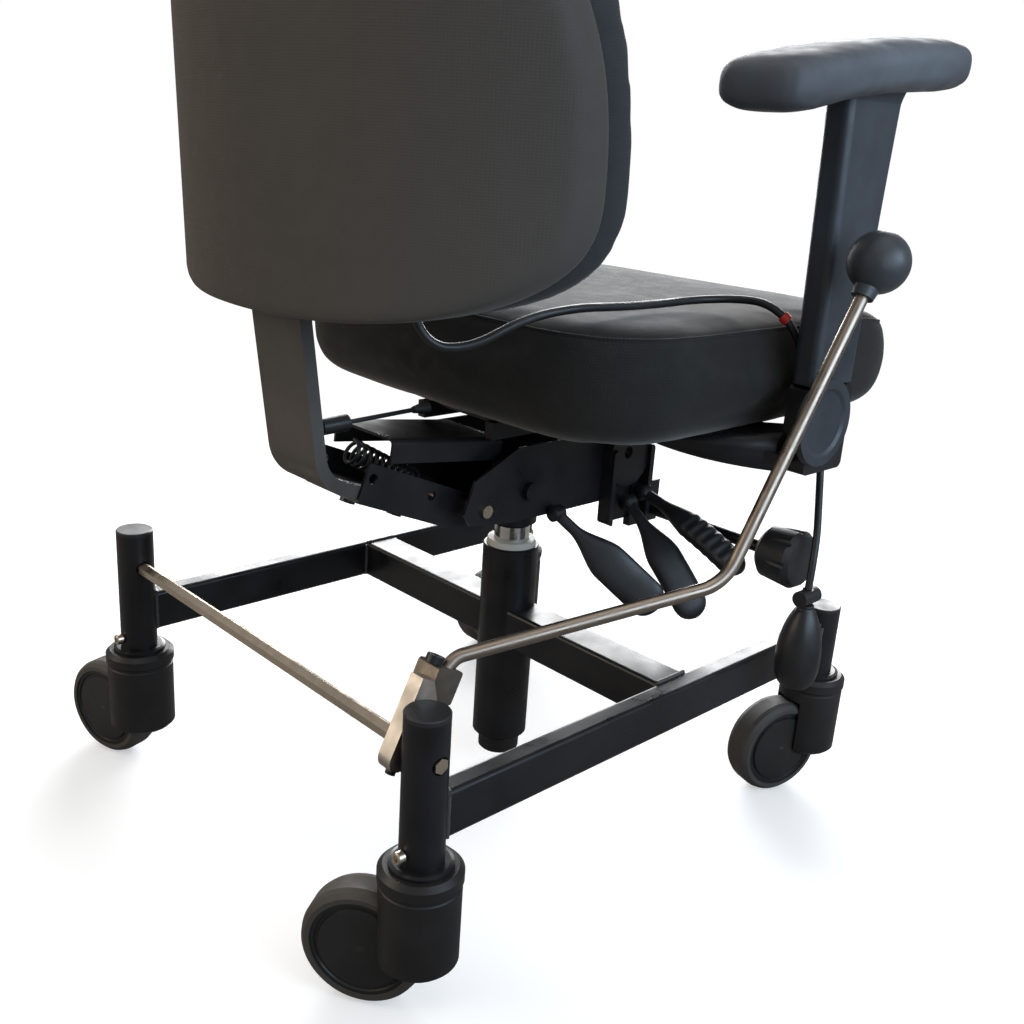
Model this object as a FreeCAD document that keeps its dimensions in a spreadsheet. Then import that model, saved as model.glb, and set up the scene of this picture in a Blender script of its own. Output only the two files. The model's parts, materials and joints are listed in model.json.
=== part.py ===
import FreeCAD, Part

import math
import os
import re

import Sketcher
from FreeCAD import Placement, Rotation, Vector

# Mobile work chair with a central hand brake, in millimetres.
# The chair faces -Y, the sitter's right is -X, +Z is up, and the origin is on the
# floor under the axis of the lift column.

doc = FreeCAD.newDocument("WorkChair")
sheet = doc.addObject("Spreadsheet::Sheet", "Sizes")

SIZES = {
    # base frame
    "post_x": 227, "rear_y": 295, "front_y": 236, "post_dia": 35, "post_wall": 3,
    "post_foot": 131, "rear_post_top": 250, "front_post_top": 199, "cap_thick": 4,
    "rail_wide": 20, "rail_high": 40, "rail_top": 186, "rail_wall": 2, "rail_round": 4,
    "crossbar_wide": 40, "column_dia": 57, "column_wall": 3.5, "column_top": 250,
    "column_foot": 36, "gas_dia": 49.9, "gas_foot_dia": 43, "gas_foot": 17,
    "piston_dia": 36, "piston_top": 330, "socket_dia": 28,
    # castors
    "housing_dia": 64, "housing_top": 127.5, "housing_foot": 43, "stem_dia": 28,
    "wheel_dia": 100, "wheel_wide": 32, "wheel_gap": 1.2, "tyre_thick": 9, "trail": 41.5,
    "axle_dia": 12,
    "turn_rear_left": 16, "turn_rear_right": 33, "turn_front_left": 88, "turn_front_right": 73,
    # brake
    "hex_flats": 11, "hex_z": 217.4, "rod_dia": 11, "knob_dia": 50, "clamp_wide": 14,
    "clamp_deep": 24, "clamp_lean": 26,
    # mechanism
    "deck_wide": 120, "hub_foot": 275, "deck_foot": 300, "deck_top": 372, "deck_front": 118, "deck_rear": 60,
    "plate": 3, "back_pivot_y": 95, "back_pivot_z": 318, "seat_pivot_y": 85,
    "seat_pivot_z": 350, "pin_dia": 12, "spring_wire": 3.5, "spring_dia": 24,
    "spring_turns": 11, "tension_y": 130, "tension_z": 283, "tension_dia": 56,
    "tension_long": 44, "tension_end": 256,
    # seat
    "seat_half": 230, "seat_front": 342, "seat_rear": 132, "seat_foot": 418, "seat_top": 503,
    "seat_crown": 6, "pan_foot": 397, "seat_turn": 0,
    # arms
    "arm_x": 255, "arm_y": 117, "arm_wide": 66, "arm_thick": 26, "sleeve_foot": 455,
    "arm_bar_wide": 50, "arm_bar_thick": 14, "hand_wheel_dia": 76, "hand_wheel_thick": 12,
    "pad_wide": 82, "pad_rear": 52, "pad_front": 214,
    # back
    "bar_wide": 70, "bar_thick": 11, "bar_bend": 35, "back_half": 240, "back_foot": 506,
    "back_low": 113, "back_high": 274, "back_radius": 309, "back_rear": 310, "shell_thick": 8,
    "back_front_radius": 520, "back_front": 197, "back_lean": 2,
    # pump
    "hose_dia": 7, "bulb_dia": 42, "bulb_top": 250, "bulb_foot": 166,
}
for row, (alias, size) in enumerate(SIZES.items(), start=1):
    sheet.set(f"A{row}", alias)
    sheet.set(f"B{row}", str(size))
    sheet.setAlias(f"B{row}", alias)
doc.recompute()


class Reader:
    """Reads a size from the sheet by its alias."""

    def __getattr__(self, alias):
        return float(sheet.get(alias))


S = Reader()
X, Y, Z = Vector(1, 0, 0), Vector(0, 1, 0), Vector(0, 0, 1)


def bind(obj, **rules):
    """Bind properties of an object to expressions in the sheet's aliases."""
    for prop, rule in rules.items():
        text = re.sub(r"[a-z_]+[a-z]", lambda m: "Sizes." + m[0] if m[0] in SIZES else m[0], str(rule))
        obj.setExpression(prop.replace("__", "."), text)
    return obj


def at(obj, x=0, y=0, z=0, turn=None):
    """Place an object by expressions, with an optional fixed rotation."""
    if turn:
        obj.Placement = Placement(Vector(), turn)
    return bind(obj, Placement__Base__x=x, Placement__Base__y=y, Placement__Base__z=z)


ALONG_X = Rotation(Z, X)
ALONG_Y = Rotation(Z, Y)


def cylinder(name, radius, height, x=0, y=0, z=0, turn=None):
    obj = bind(doc.addObject("Part::Cylinder", name), Radius=radius, Height=height)
    return at(obj, x, y, z, turn)


def box(name, length, width, height, x=0, y=0, z=0, turn=None):
    obj = bind(doc.addObject("Part::Box", name), Length=length, Width=width, Height=height)
    return at(obj, x, y, z, turn)


def cut(name, base, *tools):
    """Cut the tools from the base one after another."""
    for count, tool in enumerate(tools):
        obj = doc.addObject("Part::Cut", f"{name}_cut{count}")
        obj.Base, obj.Tool = base, tool
        base = obj
    return base


def fuse(name, *shapes):
    obj = doc.addObject("Part::MultiFuse", name)
    obj.Shapes = list(shapes)
    obj.Refine = True
    return obj


def solid(name, shape, place=None):
    """A sub-part whose shape is worked out from the sheet's sizes."""
    obj = doc.addObject("Part::Feature", name)
    obj.Shape = shape
    if place:
        obj.Placement = place
    return obj


def rounded(name, base, radius, pick):
    """Round the edges of an object that the pick function accepts."""
    doc.recompute()
    chosen = [(n, radius, radius) for n, edge in enumerate(base.Shape.Edges, start=1) if pick(edge)]
    obj = doc.addObject("Part::Fillet", name)
    obj.Base = base
    obj.Edges = chosen
    return obj


def origin_plane(body, role):
    return next(f for f in body.Origin.OriginFeatures if f.Role == role)


def sketch_on(body, name, role):
    sketch = body.newObject("Sketcher::SketchObject", name)
    sketch.AttachmentSupport = (origin_plane(body, role), "")
    sketch.MapMode = "FlatFace"
    return sketch


def closed_lines(sketch, points):
    """Draw a closed outline whose corners are driven by pairs of expressions."""
    count = len(points)
    doc.recompute()
    guess = [(measure(a), measure(b)) for a, b in points]
    for n in range(count):
        first, second = guess[n], guess[(n + 1) % count]
        sketch.addGeometry(Part.LineSegment(Vector(*first, 0), Vector(*second, 0)))
    for n in range(count):
        sketch.addConstraint(Sketcher.Constraint("Coincident", n, 2, (n + 1) % count, 1))
    for n, (a, b) in enumerate(points):
        for kind, rule, value in (("DistanceX", a, guess[n][0]), ("DistanceY", b, guess[n][1])):
            index = sketch.addConstraint(Sketcher.Constraint(kind, -1, 1, n, 1, value))
            if any(alias in str(rule) for alias in SIZES):
                bind(sketch, **{f"Constraints[{index}]": rule})


gauge = doc.addObject("App::FeaturePython", "Gauge")
gauge.addProperty("App::PropertyFloat", "Value")


def measure(rule):
    """The present value of an expression in the sheet's aliases."""
    if not isinstance(rule, str):
        return float(rule)
    bind(gauge, Value=rule)
    gauge.recompute()
    return gauge.Value


def turned(name, outline, x=0, y=0, z=0, turn=None):
    """A turned piece: an outline of (radius, height) pairs revolved about its own Z axis."""
    body = doc.addObject("PartDesign::Body", name + "_body")
    sketch = sketch_on(body, name + "_outline", "XZ_Plane")
    closed_lines(sketch, outline)
    doc.recompute()
    spin = body.newObject("PartDesign::Revolution", name + "_turned")
    spin.Profile = sketch
    spin.ReferenceAxis = (sketch, ["V_Axis"])
    spin.Angle = 360
    body.Tip = spin
    return at(body, x, y, z, turn)


def padded_body(name, outline, length, role="XY_Plane", x=0, y=0, z=0, turn=None, middle=False):
    """A straight piece: an outline padded by a length."""
    body = doc.addObject("PartDesign::Body", name + "_body")
    sketch = sketch_on(body, name + "_outline", role)
    closed_lines(sketch, outline)
    doc.recompute()
    pad = body.newObject("PartDesign::Pad", name + "_pad")
    pad.Profile = sketch
    bind(pad, Length=length)
    pad.Midplane = middle
    body.Tip = pad
    return at(body, x, y, z, turn)


nodes = {}


def node(label, *objects, upper=False):
    """Register the finished object, or a group of like ones, under its node name."""
    group = doc.addObject("Part::Compound", label)
    group.Links = list(objects)
    group.Label = label
    if upper:
        group.Placement = Placement(Vector(), Rotation(Z, 0))
        bind(group, Placement__Rotation__Angle="seat_turn")
    nodes[label] = group
    return group


CORNERS = {
    "rear_left": ("post_x", "rear_y", "rear_post_top"),
    "rear_right": ("-post_x", "rear_y", "rear_post_top"),
    "front_left": ("post_x", "-front_y", "front_post_top"),
    "front_right": ("-post_x", "-front_y", "front_post_top"),
}


# Base frame

def box_rail(name, wide, long, along, x, y, z):
    """A hollow rectangular rail with rounded long edges."""
    size = (wide, long) if along == "y" else (long, wide)
    outer = box(name + "_outer", size[0], size[1], "rail_high", x, y, z)
    inset = {"x": x, "y": y}
    side = "x" if along == "y" else "y"
    inset[side] = f"{inset[side]} + rail_wall"
    inner_size = [f"{s} - 2 * rail_wall" if i == (along == "x") else s for i, s in enumerate(size)]
    inner = box(name + "_inner", inner_size[0], inner_size[1], "rail_high - 2 * rail_wall",
                inset["x"], inset["y"], f"{z} + rail_wall")
    direction = Y if along == "y" else X
    round_edges = rounded(name + "_round", outer, S.rail_round,
                          lambda e: abs(e.tangentAt(e.FirstParameter).dot(direction)) > 0.99)
    return cut(name, round_edges, inner)


def side_rail(side, sign):
    foot = "rail_top - rail_high"
    rail = box_rail(f"rail_{side}", "rail_wide", "rear_y + front_y", "y",
                    f"{sign}post_x - rail_wide / 2", "-front_y", foot)
    posts = [cylinder(f"rail_{side}_{end}_saddle", "post_dia / 2", "rail_high + 2",
                      f"{sign}post_x", y, f"{foot} - 1")
             for end, y in (("rear", "rear_y"), ("front", "-front_y"))]
    node(f"side_rail_{side}", cut(f"rail_{side}_end", rail, *posts))


def crossbar():
    half = "(post_x - rail_wide / 2)"
    bar = box_rail("crossbar_tube", "crossbar_wide", f"2 * {half}", "x", f"-{half}",
                   "-crossbar_wide / 2", "rail_top - rail_high")
    saddle = cylinder("crossbar_saddle", "column_dia / 2", "rail_high + 2", 0, 0,
                      "rail_top - rail_high - 1")
    node("crossbar", cut("crossbar_open", bar, saddle))


def column():
    outer, inner = "column_dia / 2", "column_dia / 2 - column_wall"
    tube = turned("column", [(inner, "column_foot"), (f"{outer} - 2.5", "column_foot"),
                             (outer, "column_foot + 2.5"), (outer, "column_top - 1"),
                             (f"{outer} - 1", "column_top"), (inner, "column_top")])
    node("column_tube", tube)
    bore = "piston_dia / 2 + 0.05"
    bush = turned("bush", [(bore, "column_top - 30"), ("gas_dia / 2 - 2.95", "column_top - 30"),
                           ("gas_dia / 2 - 2.95", "column_top"), ("column_dia / 2 - 3", "column_top"),
                           ("column_dia / 2 - 4.5", "column_top + 6"), (bore, "column_top + 6")])
    node("column_bush", bush)
    wall = "gas_dia / 2 - 2.9"
    gas = turned("gas", [(0, "gas_foot"), ("gas_foot_dia / 2 - 2", "gas_foot"),
                         ("gas_foot_dia / 2", "gas_foot + 2"), ("gas_foot_dia / 2", "column_foot + 4"),
                         ("gas_dia / 2", "column_foot + 8"), ("gas_dia / 2", "column_top - 1"),
                         (wall, "column_top - 1"), (wall, "column_foot + 14"), (0, "column_foot + 14")])
    node("gas_cylinder", gas)
    piston = turned("piston", [(0, "column_foot + 60"), ("piston_dia / 2", "column_foot + 60"),
                               ("piston_dia / 2", "hub_foot - 4"), ("socket_dia / 2", "hub_foot - 0.5"),
                               ("socket_dia / 2", "piston_top - 2"), ("socket_dia / 2 - 2", "piston_top"),
                               (0, "piston_top")])
    node("piston_tube", piston)


def post(corner, x, y, top):
    """A round post; the rear ones are drilled through for the hexagonal brake bar."""
    outer, inner = "post_dia / 2", "post_dia / 2 - post_wall"
    tube = cut(f"post_{corner}", cylinder(f"post_{corner}_outer", outer, f"{top} - post_foot", x, y, "post_foot"),
               cylinder(f"post_{corner}_inner", inner, f"{top} - post_foot + 2", x, y, "post_foot - 1"))
    side = 1 if "rear" in corner else -1
    screw_hole = cylinder(f"post_{corner}_screw_hole", 3, "post_dia / 2 + 2", x, y, "post_foot + 10",
                          Rotation(Z, Y * side))
    tools = [screw_hole]
    if "rear" in corner:
        tools.append(cylinder(f"post_{corner}_bar_hole", "hex_flats * 0.66", "post_dia + 4",
                              f"{x} - post_dia / 2 - 2", y, "hex_z", ALONG_X))
    return cut(f"post_{corner}_drilled", tube, *tools)


def post_fittings():
    """Caps with a thin rim line, set screws and the castors' fixed stems."""
    caps, screws, stems = [], [], []
    for corner, (x, y, top) in CORNERS.items():
        inner = "post_dia / 2 - post_wall"
        caps.append(turned(f"cap_{corner}", [
            (0, -8), (f"{inner} - 0.1", -8), (f"{inner} - 0.1", 0), ("post_dia / 2", 0),
            ("post_dia / 2", "cap_thick - 1"), ("post_dia / 2 - 1", "cap_thick"), (0, "cap_thick")],
            x, y, top))
        side = 1 if "rear" in corner else -1
        turn = Rotation(Z, Y * side)
        screw = turned(f"screw_{corner}", [(0, 0), (2.95, 0), (2.95, 7), (5, 7), (5, 12), (4.2, 13),
                                           (2.2, 13), (2.2, 10), (0, 10)],
                       x, f"{y} + {side} * (post_dia / 2 - 6)", "post_foot + 10", turn)
        screws.append(screw)
        stem = cylinder(f"stem_{corner}", "stem_dia / 2", f"{top} - 14 - housing_top + 30", x, y,
                        "housing_top - 30")
        flange = turned(f"stem_{corner}_flange", [(0, 0), (25, 0), (25, 2), (22, 3), (0, 3)],
                        x, y, "housing_top + 0.3")
        stem = fuse(f"stem_{corner}_whole", stem, flange)
        holes = [cylinder(f"stem_{corner}_tap", 3, "post_dia", x, y, "post_foot + 10", turn)]
        if "rear" in corner:
            holes.append(cylinder(f"stem_{corner}_cam", "hex_flats * 0.62", "post_dia",
                                  f"{x} - post_dia / 2", y, "hex_z", ALONG_X))
        stems.append(cut(f"stem_{corner}_drilled", stem, *holes))
    node("post_caps", *caps)
    node("set_screws", *screws)
    node("castor_stems", *stems)


# Castors

def castor(corner, x, y):
    """A turned housing open for the wheel, with a cheek and stub axle on the inner side."""
    rim, foot, top = "housing_dia / 2", "housing_foot", "housing_top"
    shell = turned(f"housing_{corner}", [
        ("stem_dia / 2 + 0.05", top), (f"{rim} - 3", top), (f"{rim} + 1", f"{top} - 4"),
        (f"{rim} + 1", f"{top} - 12"), (f"{rim} - 1", f"{top} - 14"), (f"{rim} - 1", f"{top} - 16"),
        (rim, f"{top} - 17"), (rim, f"{foot} + 3"), (f"{rim} - 3", foot), (0, foot),
        (0, f"{top} - 31"), ("stem_dia / 2 + 0.05", f"{top} - 31")])
    gap = "(wheel_wide / 2 + wheel_gap)"
    cheek = box(f"cheek_{corner}", "trail - 8", 7, 40, 8, f"-{gap} - 7", "wheel_dia / 2 - 20")
    disc = cylinder(f"cheek_{corner}_disc", 20, 7, "trail", f"-{gap} - 7", "wheel_dia / 2", ALONG_Y)
    axle = cylinder(f"axle_{corner}", "axle_dia / 2", "wheel_wide + wheel_gap - 3.1", "trail", f"-{gap} - 1",
                    "wheel_dia / 2", ALONG_Y)
    room = cylinder(f"room_{corner}", "wheel_dia / 2 + 2.5", f"2 * {gap}", "trail", f"-{gap}",
                    "wheel_dia / 2", ALONG_Y)
    whole = fuse(f"housing_{corner}_whole", cut(f"housing_{corner}_open", shell, room), cheek, disc, axle)
    node(f"castor_housing_{corner}", swivelled(whole, corner, x, y))
    half = "wheel_wide / 2"
    hub = "wheel_dia / 2 - tyre_thick"
    core = turned(f"core_{corner}", [
        ("axle_dia / 2 + 0.05", f"-{half} + 0.5"), (13, f"-{half} + 0.5"), (15, f"-{half} + 3"),
        (f"{hub} - 6", f"-{half} + 3"), (f"{hub} - 4", f"-{half} + 1.5"), (hub, f"-{half} + 1.5"),
        (hub, f"{half} - 1.5"), (f"{hub} - 3", f"{half} - 1.5"), (f"{hub} - 4", f"{half} - 3"),
        (f"{hub} - 6", f"{half} - 3"), (f"{hub} - 7", f"{half} - 1"), (0, f"{half} - 0.2"),
        (0, f"{half} - 4"), ("axle_dia / 2 + 0.05", f"{half} - 4")],
        "trail", 0, "wheel_dia / 2", ALONG_Y)
    rim_out = "wheel_dia / 2"
    tyre = turned(f"tyre_{corner}", [
        (hub, f"-{half}"), (f"{rim_out} - 5", f"-{half}"), (f"{rim_out} - 1.5", f"-{half} + 3.5"),
        (rim_out, f"-{half} + 8"), (rim_out, f"{half} - 8"), (f"{rim_out} - 1.5", f"{half} - 3.5"),
        (f"{rim_out} - 5", half), (hub, half)], "trail", 0, "wheel_dia / 2", ALONG_Y)
    node(f"wheel_core_{corner}", swivelled(core, corner, x, y))
    node(f"tyre_{corner}", swivelled(tyre, corner, x, y))


def swivelled(obj, corner, x, y):
    """Turn a castor piece about its post to the angle it stands at."""
    group = doc.addObject("Part::Compound", obj.Name + "_swivelled")
    group.Links = [obj]
    group.Placement = Placement(Vector(), Rotation(Z, 0))
    return bind(group, Placement__Base__x=x, Placement__Base__y=y,
                Placement__Rotation__Angle=f"turn_{corner}")


# Brake

ROD_ROUTE = [Vector(-197, 266, 254), Vector(-201, 247, 272), Vector(-300, 59, 320), Vector(-310, -81, 565)]
ROD_RADII = [16, 42]


def bent_path(points, radii):
    """A wire of straight runs joined by tangent arcs."""
    edges, start = [], points[0]
    for n, radius in enumerate(radii, start=1):
        corner = points[n]
        back, ahead = (points[n - 1] - corner).normalize(), (points[n + 1] - corner).normalize()
        half = back.getAngle(ahead) / 2
        reach = radius / math.tan(half)
        first, last = corner + back * reach, corner + ahead * reach
        middle = corner + (back + ahead).normalize() * (radius / math.sin(half) - radius)
        edges += [Part.LineSegment(start, first).toShape(), Part.Arc(first, middle, last).toShape()]
        start = last
    edges.append(Part.LineSegment(start, points[-1]).toShape())
    return Part.Wire(edges)


def tube_along(wire, radius):
    """A round bar or tube swept along a wire of lines and arcs."""
    start = wire.Edges[0]
    direction = start.tangentAt(start.FirstParameter)
    ring = Part.Wire(Part.Circle(start.valueAt(start.FirstParameter), direction, radius).toShape())
    return wire.makePipeShell([ring], True, False)


def brake():
    long = "2 * post_x + post_dia + 1"
    bar = padded_body("hex_bar", hexagon("hex_flats"), long, "YZ_Plane", f"-({long}) / 2", "rear_y", "hex_z")
    node("hex_bar", bar)
    lean = Placement(Vector(0, S.rear_y, S.hex_z), Rotation(X, S.clamp_lean))
    wide, deep = S.clamp_wide, S.clamp_deep
    inner = -(S.post_x - S.post_dia / 2 - 2)
    plate = Part.makeBox(wide, deep, 62, Vector(inner, -deep / 2, -12))
    plate = plate.fuse(Part.makeCylinder(deep / 2, wide, Vector(inner, 0, -12), X))
    block = rounded_edges(Part.makeBox(24, 26, 27, Vector(inner, -deep / 2 - 14, 34)), 3, X)
    whole = placed(plate.fuse(block).removeSplitter(), lean)
    whole = whole.cut(hex_prism(S.hex_flats + 0.06, 2 * wide, Vector(inner - 1, S.rear_y, S.hex_z)))
    rod = tube_along(bent_path(ROD_ROUTE, ROD_RADII), S.rod_dia / 2)
    node("brake_rod", solid("rod", rod))
    end, before = ROD_ROUTE[-1], ROD_ROUTE[-2]
    way = (end - before).normalize()
    ball = Part.makeSphere(S.knob_dia / 2, end)
    neck = Part.makeCone(9, 10.5, 10, end - way * 31, way)
    node("brake_knob", solid("knob", ball.fuse(neck).cut(rod)))
    nut = Part.makeCylinder(7, 6, Vector(inner + 10, -2, 61), Z).cut(
        Part.makeCylinder(3, 4, Vector(inner + 10, -2, 64), Z))
    screw = Part.makeCylinder(4, 5, Vector(inner + wide / 2, 0, -deep / 2 - 12), -Z)
    washer = Part.makeCylinder(6, 1.2, Vector(inner + wide / 2, 0, -deep / 2 - 12), -Z)
    screw = screw.fuse(washer).cut(Part.makeCylinder(2, 3, Vector(inner + wide / 2, 0, -deep / 2 - 17), Z))
    flat = Part.makeBox(wide, 14, 3, Vector(inner, -7, -deep / 2 - 12))
    whole = whole.cut(placed(flat, lean)).cut(rod)
    screw.translate(Z * 3)
    node("brake_clamp", solid("clamp", whole))
    node("clamp_bolts", solid("clamp_nut", placed(nut, lean)), solid("clamp_screw", placed(screw, lean)))


def hexagon(flats):
    """The corners of a hexagon with two flats upright, as expressions."""
    corners = []
    for n in range(6):
        angle = math.radians(60 * n + 30)
        corners.append((f"{flats} / sqrt(3) * {math.cos(angle):.6f}", f"{flats} / sqrt(3) * {math.sin(angle):.6f}"))
    return corners


def hex_prism(flats, long, start):
    radius = flats / math.sqrt(3)
    corners = [start + Vector(0, radius * math.cos(math.radians(60 * n + 30)),
                              radius * math.sin(math.radians(60 * n + 30))) for n in range(6)]
    face = Part.Face(Part.makePolygon(corners + corners[:1]))
    return face.extrude(X * long)


# Mechanism under the seat

def mechanism():
    half, wall = S.deck_wide / 2, S.plate
    front, rear, foot, top = -S.deck_front, S.deck_rear, S.deck_foot, S.deck_top
    floor = Part.makeBox(2 * half, rear - front, wall, Vector(-half, front, foot))
    side_outline = [Vector(0, front, foot), Vector(0, rear, foot), Vector(0, rear + 52, foot + 6),
                    Vector(0, rear + 60, foot + 18), Vector(0, rear + 48, top - 24), Vector(0, rear - 4, top),
                    Vector(0, front + 25, top), Vector(0, front, top - 32)]
    side = Part.Face(Part.makePolygon(side_outline + side_outline[:1])).extrude(X * wall)
    left, right = side.copy(), side.copy()
    left.translate(X * (half - wall))
    right.translate(X * -half)
    nose = Part.makeBox(2 * half, wall, top - 32 - foot, Vector(-half, front, foot))
    hub = Part.makeCylinder(24, 60, Vector(0, 0, S.hub_foot))
    collar = Part.makeCone(24, 34, 12, Vector(0, 0, foot - 12))
    bracket = Part.makeBox(16, 62, 78, Vector(-half - 16, -122, S.hub_foot + 2))
    bracket = rounded_edges(bracket, 5, X)
    bracket = bracket.cut(Part.makeBox(12, 50, 90, Vector(-half - 16, -116, S.hub_foot - 4)))
    ear = Part.makeBox(8, 44, 44, Vector(-half - 8, -S.tension_y - 15, S.tension_z - 15))
    lobe = Part.makeCylinder(30, 12, Vector(-half - 12, -88, 345), X)
    boss = Part.makeCylinder(9, 6, Vector(-half - 6, 40, 328), X)
    whole = floor.multiFuse([left, right, nose, hub, collar, bracket, ear, lobe, boss]).removeSplitter()
    bores = [Part.makeCylinder(S.socket_dia / 2 + 0.05, 80, Vector(0, 0, S.hub_foot - 1)),
             Part.makeCylinder(S.pin_dia / 2 + 0.05, 200, Vector(-100, S.back_pivot_y, S.back_pivot_z), X),
             Part.makeCylinder(S.pin_dia / 2 + 0.05, 200, Vector(-100, -S.seat_pivot_y, S.seat_pivot_z), X),
             Part.makeCylinder(6.05, 20, Vector(-half - 10, -S.tension_y, S.tension_z), X)]
    for bore in bores:
        whole = whole.cut(bore)
    node("mechanism_housing", solid("housing", whole), upper=True)
    wide, long, deep = 84, 128, 26
    cover = rounded_edges(Part.makeBox(wide, long, deep), 5, Y)
    cover = cover.cut(Part.makeBox(wide + 2, long + 2, 6, Vector(-1, -1, -1)))
    cover = cover.cut(rounded_edges(Part.makeBox(wide - 5, long + 4, deep - 1, Vector(2.5, -2, -1.5)), 3, Y))
    cover.Placement = Placement(Vector(-wide / 2, 64, 352), Rotation(X, 7))
    node("mechanism_cover", solid("cover", cover), upper=True)
    pins = [Part.makeCylinder(S.pin_dia / 2, 2 * half + 8, Vector(-half - 4, y, z), X)
            for y, z in ((S.back_pivot_y, S.back_pivot_z), (-S.seat_pivot_y, S.seat_pivot_z))]
    node("mechanism_pins", *[solid(f"pin_{n}", pin) for n, pin in enumerate(pins)], upper=True)
    shaft = Part.makeCylinder(6, S.tension_end - half - 9, Vector(-S.tension_end + 6, -S.tension_y, S.tension_z), X)
    node("tension_shaft", solid("shaft", shaft), upper=True)


def helix_wire(start, axis, radius, pitch, turns):
    """A helix drawn as biarcs, one for each quarter turn."""
    side = axis.cross(X).normalize()
    other = axis.cross(side)
    rise = pitch / 4
    slope = pitch / (2 * math.pi * radius)

    def point(n):
        angle = math.pi / 2 * n
        return start + axis * (rise * n) + (side * math.cos(angle) + other * math.sin(angle)) * radius

    def heading(n):
        angle = math.pi / 2 * n
        return (other * math.cos(angle) - side * math.sin(angle) + axis * slope).normalize()

    edges = []
    for n in range(int(turns * 4)):
        p0, p1, t0, t1 = point(n), point(n + 1), heading(n), heading(n + 1)
        chord, total = p1 - p0, t0 + t1
        spread = 2 * (1 - t0.dot(t1))
        reach = (-chord.dot(total) + math.sqrt(chord.dot(total) ** 2 + spread * chord.dot(chord))) / spread
        joint = (p0 + p1 + (t0 - t1) * reach) * 0.5
        edges.append(Part.Edge(arc_from(p0, t0, joint)))
        edges.append(Part.Edge(arc_from(p1, -t1, joint)))
    return Part.Wire(Part.__sortEdges__(edges)), [point(n / 4) for n in range(int(turns * 16) + 1)]


def arc_from(start, tangent, end):
    """The arc that leaves start along the tangent and reaches end."""
    chord = end - start
    along = chord.dot(tangent)
    across = chord - tangent * along
    radius = chord.dot(chord) / (2 * across.Length)
    centre = start + across.normalize() * radius
    middle = centre + ((start - centre) + (end - centre)).normalize() * radius
    return Part.Arc(start, middle, end)


SPRING_REAR, SPRING_FRONT = Vector(0, 203, 376), Vector(0, 130, 335)


def spring():
    axis = (SPRING_FRONT - SPRING_REAR)
    pitch = axis.Length / S.spring_turns
    axis.normalize()
    mean = (S.spring_dia - S.spring_wire) / 2
    wire, points = helix_wire(SPRING_REAR, axis, mean, pitch, S.spring_turns)
    coil = tube_along(wire, S.spring_wire / 2)
    gap = min((points[n + 16] - points[n]).Length for n in range(len(points) - 16)) - S.spring_wire
    print(f"spring: least gap between turns {gap:.2f} mm")
    node("tilt_spring", solid("spring", coil), upper=True)


def paddle(root, tip, wide, thick):
    """A moulded lever: a thin neck that swells into a flat rounded grip, broad from front to rear."""
    way = tip - root
    long = way.Length
    neck, wires = 9, []
    for share in (0, 0.2, 0.28, 0.36, 0.44, 0.52, 0.6, 0.85, 0.91, 0.96, 1):
        swell = min(max((share - 0.2) / 0.4, 0), 1)
        swell = swell * swell * (3 - 2 * swell)
        close = max(share - 0.85, 0) / 0.15
        close = math.sqrt(1 - 0.8 * close * close)
        w = (neck + (wide - neck) * swell) * close
        t = (neck + (thick - neck) * swell) * close
        wires.append(rounded_rectangle(w, t, 0.4 * min(w, t), long * share))
    grip = Part.makeLoft(wires, True, True)
    grip.Placement = Placement(root, Rotation(Y, Vector(), way, "ZXY"))
    return grip


def rounded_rectangle(wide, deep, radius, height, cx=0, cy=0):
    """A level rounded rectangle of lines and quarter arcs."""
    a, b, r = wide / 2, deep / 2, radius
    k = r * (1 - math.sqrt(0.5))
    edges = []
    for sx, sy in ((1, 1), (-1, 1), (-1, -1), (1, -1)):
        along_y = Vector(cx + sx * a, cy + sy * (b - r), height)
        along_x = Vector(cx + sx * (a - r), cy + sy * b, height)
        middle = Vector(cx + sx * (a - k), cy + sy * (b - k), height)
        first, last = (along_y, along_x) if sx == sy else (along_x, along_y)
        edges.append((first, middle, last))
    outline = []
    for n, (first, middle, last) in enumerate(edges):
        outline.append(Part.Arc(first, middle, last).toShape())
        following = edges[(n + 1) % 4][0]
        if (following - last).Length > 1e-6:
            outline.append(Part.LineSegment(last, following).toShape())
    return Part.Wire(outline)


LEVERS = [("lift", Vector(-69, 10, 303), Vector(-154, -50, 222), 46, 11),
          ("seat", Vector(-78, -84, 300), Vector(-172, -88, 212), 38, 14),
          ("back", Vector(-78, -108, 306), Vector(-205, -106, 262), 26, 20)]


def levers():
    """Three moulded levers that stand out of the housing's right side."""
    for name, root, tip, wide, thick in LEVERS:
        grip = paddle(root, tip, wide, thick)
        hub = Part.makeCylinder(8, 12, root - Y * 6, Y)
        node(f"lever_{name}", solid(f"{name}_grip", grip.fuse(hub)), upper=True)
    half = "tension_dia / 2"
    knob = turned("tension", [(6, 0), (f"{half} * 0.42", 0), (f"{half} * 0.72", 4), (f"{half} * 0.9", 9),
                              (half, "tension_long - 6"), (f"{half} - 4", "tension_long"),
                              (0, "tension_long"), (0, "tension_long - 6"), (6, "tension_long - 6")],
                  "-tension_end + tension_long", "-tension_y", "tension_z", Rotation(Z, -X))
    flutes = []
    for n in range(8):
        angle = 2 * math.pi * n / 8
        flutes.append(cylinder(f"flute_{n}", 5, "tension_long", f"-tension_end - 1",
                               f"-tension_y + (tension_dia / 2 + 3.2) * {math.cos(angle):.6f}",
                               f"tension_z + (tension_dia / 2 + 3.2) * {math.sin(angle):.6f}", ALONG_X))
    node("tension_knob", cut("tension_fluted", knob, *flutes), upper=True)


# Seat

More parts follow.
